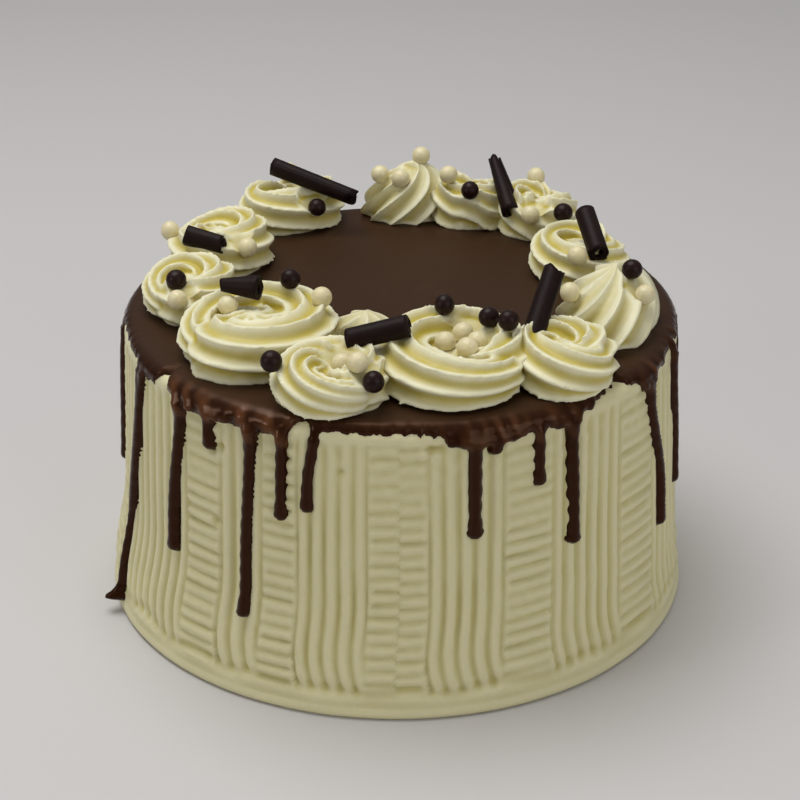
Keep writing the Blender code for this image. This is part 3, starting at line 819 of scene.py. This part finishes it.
class CakeGanache(bpy.types.PropertyGroup):
    """Sizes and colours of the ganache."""

    columns: IntProperty(name="Columns", description="Steps round the cake", default=1000, min=90)
    rows: IntProperty(name="Rows", description="Steps from the middle down", default=120, min=20)
    skin: length_property("Skin", "Depth of the ganache into the icing", 0.0012)
    top_colour: colour_property("Top colour", "Colour of the top", (0.034, 0.0158, 0.0076))
    drip_colour: colour_property(
        "Drip colour", "Colour of the rim and drips", (0.021, 0.0058, 0.0022)
    )
    # Painted highlight colour for the crests of the rim's lumps
    highlight_colour: colour_property(
        "Warm colour", "Colour of the lumps of the rim", (0.115, 0.040, 0.012)
    )


class CAKE_OT_ganache(bpy.types.Operator):
    """Pour the ganache over the top and down the side"""

    bl_idname = "cake.ganache"
    bl_label = "Ganache"

    def execute(self, context):
        settings = context.scene.cake_ganache
        bm, turn, row = sphere_grid(settings.columns, settings.rows)
        places, field, pool, lump_highlight = ganache_places(turn * 360, 1 - row)
        keep = field >= -EDGE_MARGIN
        dry = [vert for vert, kept in zip(bm.verts, keep) if not kept]
        bmesh.ops.delete(bm, geom=dry, context="VERTS")
        coat = make_piece("ganache_coat", bm, places[keep])
        set_attribute(coat.data, "pool", pool[keep])
        # Mask of the highlights painted on the rim's lumps
        set_attribute(coat.data, "lump_highlight", lump_highlight[keep])
        add_skin(coat, settings.skin, -1)
        finish = ganache_finish(settings.top_colour, settings.drip_colour, settings.highlight_colour)
        hand_in(coat, finish, "ganache", "ganache")
        return {"FINISHED"}


# Piped swirls


def swirl_places(swirl, along, across, z):
    """Places at distances along and across the ring of swirls from a swirl's middle."""
    middle = np.array([*swirl.place, 0.0])
    out = middle / np.linalg.norm(middle)
    places = middle + np.outer(along, [-out[1], out[0], 0.0]) + np.outer(across, out)
    places[:, 2] = z
    return places


def ridge(phase, depth):
    """Reach of a piped surface round its ridges: narrow crests and broad round valleys."""
    return 1 - depth * np.abs(np.sin(math.pi * phase)) ** RIDGE_SHARPNESS


def rope_size(row):
    """Thickness of the rope, which thins to its start in the middle and to its tail."""
    size = (0.72 + 0.28 * smoothstep(0, ROPE_LEAD, row)) * (1 - 0.42 * smoothstep(0.68, 1, row))
    return size * np.sqrt(np.clip(np.minimum(row / (0.9 * ROPE_LEAD), (1 - row) / 0.05), 0, 1))


def rope_places(turn, row, ring, ridge_depth):
    """Places of a rope of cream that starts in the middle, goes round and ends in a tail."""
    start = math.degrees(math.atan2(ring.place[0], -ring.place[1]))
    angle = np.radians(ring.end - 360 * ROPE_TURNS * (1 - row) - start)
    out = smoothstep(0, ROPE_LEAD * 1.1, row) * (0.9 + 0.1 * smoothstep(ROPE_LEAD, 1, row))
    run = np.clip((row - ROPE_LEAD) / (1 - ROPE_LEAD), 0, 1)
    width = ring.rope * (1 + ring.uneven * np.cos(angle + math.radians(start - ring.side)))
    around = 2 * math.pi * turn
    phase = ROPE_RIDGES * (turn + 0.04) - ring.windings * (1 - run)
    reach = rope_size(row) * ridge(phase, ridge_depth)
    radial = width * reach * np.cos(around)
    middle = ring.height * ROPE_LEVEL
    level = middle + (ring.height - middle) * reach * np.sin(around)
    ragged = np.abs(np.sin(run * 31 + ring.place[0])) + np.abs(np.sin(run * 67 + ring.place[1]))
    radial += np.sign(radial) * (0.3 + 0.45 * ragged) * np.exp(-((level / 1.4) ** 2))
    spread_along = (ring.along - width) * out + radial
    spread_across = (ring.across - width) * out + radial
    z = SWIRL_BASE + np.maximum(level, -RING_SINK)
    return swirl_places(ring, spread_along * np.cos(angle), -spread_across * np.sin(angle), z)


def heart_places(turn, row, ring):
    """Places of the cream that fills the middle of a ring, in twisted folds."""
    tilt = (row - 0.5) * math.pi
    angle = 2 * math.pi * turn
    fold = np.abs(np.sin(HEART_FOLDS / 2 * (angle + HEART_TWIST * np.cos(tilt))))
    reach = np.cos(tilt) * (1 - 0.3 * (ring.heart - 0.4) * fold)
    along = (ring.along - 0.8 * ring.rope) * reach * np.cos(angle)
    across = (ring.across - 0.8 * ring.rope) * reach * np.sin(angle)
    level = ring.height * ring.heart * np.sin(tilt) * (1 - 0.12 * fold)
    return swirl_places(ring, along, across, SWIRL_BASE + np.maximum(level, -RING_SINK))


def star_places(turn, row, star, ridge_depth):
    """Places of a piped star: ridges that climb and twist from its foot to its tip."""
    stations = np.linspace(0, 1, len(STAR_PROFILE) + 2)
    reaches, levels = np.array([(0.0, 0.0), *STAR_PROFILE, (0.0, 1.0)]).T
    reach = np.interp(row, stations, reaches)
    level = np.interp(row, stations, levels)
    depth = ridge_depth * (0.4 + 0.6 * smoothstep(0, 0.2, row))
    reach = reach * ridge(star.ridges * turn, depth)
    swing = 2 * math.pi * turn + math.radians(star.twist) * level
    along, across = star.along * reach * np.cos(swing), -star.across * reach * np.sin(swing)
    z = SWIRL_BASE - STAR_SINK + (star.height + STAR_SINK) * level
    return swirl_places(star, along, across, z) + np.outer(level, [*star.lean, 0])


def pearl_centres(kind):
    """Name and centre, in millimetres, of each pearl of a kind: its solid has five sides."""
    found = []
    for name in sorted(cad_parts):
        if name.startswith(kind):
            low, high = (np.array(corner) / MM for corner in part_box(name))
            centre = (low + high) / 2
            centre[0] = high[0] - PEARL_RADIUS
            found.append((name, centre))
    return found


def lift_to_pearl(places, centre, distance, near):
    """Lifts the cream round a pearl where it would fall short of it."""
    under = near & (distance < 0.5 * PEARL_RADIUS)
    if not under.any():
        return
    short = centre[2] - PEARL_RADIUS + PEARL_HOLD - places[under, 2].max()
    if 0 < short < MOST_LIFT:
        lift = short * smoothstep(PEARL_REACH, 0.4 * PEARL_RADIUS, distance)
        places[near, 2] += lift[near]


def dent_round_pearl(places, centre, distance, near):
    """Presses cream that stands up round a pearl, and moves it out of the pearl."""
    top = centre[2] - 0.25 * PEARL_RADIUS + 0.8 * np.maximum(0, distance - PEARL_RADIUS)
    high = near & (places[:, 2] > top)
    places[high, 2] = top[high]
    to_centre = places - centre
    gap = np.linalg.norm(to_centre, axis=1)
    inside = near & (gap < PEARL_RADIUS)
    places[inside] = centre + to_centre[inside] * (PEARL_RADIUS / gap[inside])[:, None]


def settle_round_pearls(mesh):
    """Fits the cream of a swirl to the pearls on it."""
    places = mesh_places(mesh)
    for _, centre in pearl_centres("dark_pearl") + pearl_centres("cream_pearl"):
        distance = np.hypot(*(places[:, :2] - centre[:2]).T)
        near = (distance < PEARL_REACH) & (places[:, 2] > SWIRL_BASE + 1)
        if near.any():
            lift_to_pearl(places, centre, distance, near)
            dent_round_pearl(places, centre, distance, near)
    set_places(mesh, places)


def finish_swirl(obj, finish, name):
    """Sets a swirl round its pearls, evens it a little and gives it its finish."""
    settle_round_pearls(obj.data)
    relax(obj.data, 1, 0.3)
    mark_valleys(obj.data, depth=0.22, rounds=8)
    hand_in(obj, finish, "piped_cream", name)


class CakePiping(bpy.types.PropertyGroup):
    """Sizes and colours of the piped cream."""

    ridge_depth: FloatProperty(
        name="Ridge depth", description="Depth of the valleys, as a part of the rope's half-width",
        default=0.33, min=0, max=0.5,
    )
    star_depth: FloatProperty(
        name="Star depth", description="Depth of the valleys of a star, as a part of its reach",
        default=0.28, min=0, max=0.5,
    )
    voxel: length_property("Voxel", "Fineness of the ring swirls", 0.0007)
    colour: colour_property("Colour", "Colour of the piped cream", (0.79, 0.755, 0.53))
    # Painted shade: the darker, yellower colour mixed in between the ridges
    valley: colour_property("Valley colour", "Colour between the ridges", (0.53, 0.43, 0.06))


def piped_cream(settings):
    """The finish that ring and star swirls share."""
    name = "piped cream"
    if name in bpy.data.materials:
        return bpy.data.materials[name]
    return icing_finish(name, settings.colour, settings.valley, 0.00025)


class CAKE_OT_rings(bpy.types.Operator):
    """Pipe the ring swirls"""

    bl_idname = "cake.rings"
    bl_label = "Ring Swirls"

    def execute(self, context):
        settings = context.scene.cake_piping
        finish = piped_cream(settings)
        for name, ring in RINGS.items():
            bm, turn, row = sphere_grid(*ROPE_STEPS)
            places = rope_places(turn, row, ring, settings.ridge_depth)
            rope = make_piece("piped_" + name, bm, places)
            bm, turn, row = sphere_grid(*HEART_STEPS)
            join_meshes(rope, make_piece("heart", bm, heart_places(turn, row, ring)))
            remesh = rope.modifiers.new("remesh", "REMESH")
            remesh.mode = "VOXEL"
            remesh.voxel_size = settings.voxel
            bake_modifiers(rope)
            relax(rope.data, 3)
            finish_swirl(rope, finish, name)
        return {"FINISHED"}


def join_meshes(obj, other):
    """Adds the other object's mesh to the first, and removes the other."""
    bm = bmesh.new()
    bm.from_mesh(obj.data)
    bm.from_mesh(other.data)
    bm.to_mesh(obj.data)
    bm.free()
    bpy.data.objects.remove(other)


class CAKE_OT_stars(bpy.types.Operator):
    """Pipe the star swirls"""

    bl_idname = "cake.stars"
    bl_label = "Star Swirls"

    def execute(self, context):
        settings = context.scene.cake_piping
        finish = piped_cream(settings)
        for name, star in STARS.items():
            bm, turn, row = sphere_grid(STAR_STEPS[0] * star.ridges, STAR_STEPS[1])
            places = star_places(turn, row, star, settings.star_depth)
            finish_swirl(make_piece("piped_" + name, bm, places), finish, name)
        return {"FINISHED"}


# Rolls and pearls


def roll_frame(start, end):
    """A roll's direction and length, and the directions to its side and up from it."""
    way = end - start
    length = np.linalg.norm(way)
    way = way / length
    side = np.cross(way, [0, 0, 1.0])
    side /= np.linalg.norm(side)
    return way, length, side, np.cross(side, way)


def roll_places(across, along, roll, seed, sheet):
    """Places of a sheet of chocolate wound in a scroll with uneven ends, and its streaks."""
    start, end = np.array(roll.start, float), np.array(roll.end, float)
    way, length, side, up = roll_frame(start, end)
    radius = roll.start_radius + (roll.end_radius - roll.start_radius) * along
    angle = 2 * math.pi * SCROLL_TURNS * across + seed
    wound = radius - sheet / 2 - (1 - across) * SCROLL_TURNS * sheet * SCROLL_PITCH
    draw = np.random.default_rng(seed)
    ragged = np.zeros(across.shape)
    for wave in range(1, 5):
        ragged += np.sin(2 * math.pi * wave * 1.3 * across + draw.uniform(0, 6.3)) / wave
    streak = np.sin(angle * 31 + seed) * 0.5 + np.sin(angle * 53 + seed * 2) * 0.3
    torn = FIRST_TORN + (roll.torn - FIRST_TORN) * along
    place = END_GAP + along * (length - 2 * END_GAP) - torn * np.abs(ragged) * (2 * along - 1)
    places = start + np.outer(place, way)
    places += np.outer(wound * np.cos(angle), side) + np.outer(wound * np.sin(angle), up)
    return places, 0.5 + 0.5 * streak


class CakeToppings(bpy.types.PropertyGroup):
    """Sizes and colours of the rolls and pearls."""

    sheet: length_property("Sheet", "Thickness of the rolled chocolate", 0.0008)
    chocolate: colour_property("Chocolate", "Colour of the rolls", (0.008, 0.004, 0.004))
    dark_pearl: colour_property("Dark pearl", "Colour of the dark pearls", (0.012, 0.005, 0.005))
    cream_pearl: colour_property("Cream pearl", "Colour of the pale pearls", (0.78, 0.71, 0.46))


class CAKE_OT_rolls(bpy.types.Operator):
    """Roll the chocolate scrolls"""

    bl_idname = "cake.rolls"
    bl_label = "Chocolate Rolls"

    def execute(self, context):
        settings = context.scene.cake_toppings
        finish = chocolate_finish("chocolate", settings.chocolate, 0.45, 0.1, streaks=True)
        sheet = settings.sheet / MM
        for seed, (name, roll) in enumerate(ROLLS.items()):
            bm = bmesh.new()
            across, along = SCROLL_STEPS
            bmesh.ops.create_grid(bm, x_segments=across, y_segments=along, size=0.5)
            flat = np.array([vert.co for vert in bm.verts])
            places, streak = roll_places(flat[:, 0] + 0.5, flat[:, 1] + 0.5, roll, seed, sheet)
            scroll = make_piece("scroll_" + name, bm, places)
            set_attribute(scroll.data, "streak", streak)
            add_skin(scroll, settings.sheet, 0)
            hand_in(scroll, finish, "chocolate", name)
        return {"FINISHED"}


def make_pearls(name, kind, finish, slot, seed):
    """All pearls of one kind as one mesh, each a little out of round."""
    draw = np.random.default_rng(seed)
    pearls = pearl_centres(kind)
    bm = bmesh.new()
    for _, centre in pearls:
        made = bmesh.ops.create_uvsphere(bm, u_segments=28, v_segments=18, radius=PEARL_RADIUS * MM)
        size = draw.uniform(0.95, 1.02, 3)
        bmesh.ops.scale(bm, vec=size, verts=made["verts"])
        bmesh.ops.translate(bm, vec=centre * MM, verts=made["verts"])
    obj = make_piece(name, bm)
    hand_in(obj, finish, slot, *[node for node, _ in pearls])


class CAKE_OT_pearls(bpy.types.Operator):
    """Set the dark and the pale pearls"""

    bl_idname = "cake.pearls"
    bl_label = "Pearls"

    def execute(self, context):
        settings = context.scene.cake_toppings
        dark = chocolate_finish("dark pearl", settings.dark_pearl, 0.32, 0.14, streaks=False)
        make_pearls("dark_pearls", "dark_pearl", dark, "dark_pearl", 7)
        pale = sugar_finish(settings.cream_pearl)
        make_pearls("pale_pearls", "cream_pearl", pale, "cream_pearl", 8)
        return {"FINISHED"}


# Stage


class CakeStage(bpy.types.PropertyGroup):
    """Colours and strengths of the stage."""

    floor: colour_property("Floor", "Colour of the floor", (0.60, 0.585, 0.58))
    key: FloatProperty(name="Key", description="Power of the main light", default=9.4)
    sky: FloatProperty(name="Sky", description="Strength of the light all round", default=0.26)


def lay_floor(colour):
    bm = bmesh.new()
    bmesh.ops.create_grid(bm, x_segments=4, y_segments=4, size=FLOOR_SIZE * MM / 2)
    floor = make_piece("floor", bm)
    made, nodes, shader = new_material("floor", roughness=0.6)
    mottle, _ = place_surface(nodes, 3, 30, 0.1)
    dull = [c * 0.985 for c in colour]
    nodes.join(nodes.mix(mottle, colour, dull), shader.inputs["Base Color"])
    floor.data.materials.append(made)
    floor.location.z = -FLOOR_GAP * MM


def set_sky(scene, strength):
    """Light from all round, stronger from above."""
    world = bpy.data.worlds.new("sky")
    world.use_nodes = True
    shade = world.node_tree.nodes["Background"]
    shade.inputs["Color"].default_value = SKY_COLOUR
    nodes = Nodes(world.node_tree)
    split = nodes.add("ShaderNodeSeparateXYZ")
    nodes.join(nodes.add("ShaderNodeTexCoord").outputs["Generated"], split.inputs["Vector"])
    glow = nodes.remap(split.outputs["Z"], 0.0, 0.8, 0.45 * strength, 1.5 * strength)
    nodes.join(glow, shade.inputs["Strength"])
    scene.world = world
    scene.view_settings.view_transform = "Standard"


def set_camera(scene):
    camera = bpy.data.cameras.new("camera")
    camera.lens = CAMERA_LENS
    camera.sensor_width = SENSOR_WIDTH
    eye = bpy.data.objects.new("camera", camera)
    eye.location = Vector(CAMERA_PLACE) * MM
    eye.rotation_euler = (math.radians(90 - CAMERA_PITCH), 0, 0)
    scene.collection.objects.link(eye)
    scene.camera = eye


def add_light(name, place, size, power):
    """A large soft light that faces the cake."""
    light = bpy.data.lights.new(name, "AREA")
    light.shape = "DISK"
    light.size = size * MM
    light.energy = power
    lamp = bpy.data.objects.new(name, light)
    lamp.location = Vector(place) * MM
    lamp.rotation_euler = (-Vector(place)).to_track_quat("-Z", "Y").to_euler()
    bpy.context.scene.collection.objects.link(lamp)


class CAKE_OT_stage(bpy.types.Operator):
    """Set the floor, the lights and the camera"""

    bl_idname = "cake.stage"
    bl_label = "Stage"

    def execute(self, context):
        scene = context.scene
        settings = scene.cake_stage
        lay_floor(settings.floor)
        for name, (place, size, part) in LIGHTS.items():
            add_light(name, place, size, settings.key * part)
        set_sky(scene, settings.sky)
        set_camera(scene)
        return {"FINISHED"}


class CAKE_PT_panel(bpy.types.Panel):
    """Lists the parts of the cake"""

    bl_idname = "CAKE_PT_panel"
    bl_label = "Tuxedo Cake"
    bl_space_type = "VIEW_3D"
    bl_region_type = "UI"
    bl_category = "Cake"

    def draw(self, context):
        for operator in OPERATORS:
            self.layout.operator(operator.bl_idname)


SETTINGS = {
    "cake_icing": CakeIcing,
    "cake_ganache": CakeGanache,
    "cake_piping": CakePiping,
    "cake_toppings": CakeToppings,
    "cake_stage": CakeStage,
}
OPERATORS = (
    CAKE_OT_icing, CAKE_OT_ganache, CAKE_OT_rings, CAKE_OT_stars, CAKE_OT_rolls, CAKE_OT_pearls,
    CAKE_OT_stage,
)


def register():
    for name, group in SETTINGS.items():
        bpy.utils.register_class(group)
        setattr(bpy.types.Scene, name, bpy.props.PointerProperty(type=group))
    for operator in OPERATORS:
        bpy.utils.register_class(operator)
    bpy.utils.register_class(CAKE_PT_panel)


def unregister():
    bpy.utils.unregister_class(CAKE_PT_panel)
    for operator in reversed(OPERATORS):
        bpy.utils.unregister_class(operator)
    for name, group in SETTINGS.items():
        delattr(bpy.types.Scene, name)
        bpy.utils.unregister_class(group)


def main():
    register()
    for operator in OPERATORS:
        group, action = operator.bl_idname.split(".")
        getattr(getattr(bpy.ops, group), action)()


if __name__ == "__main__":
    main()
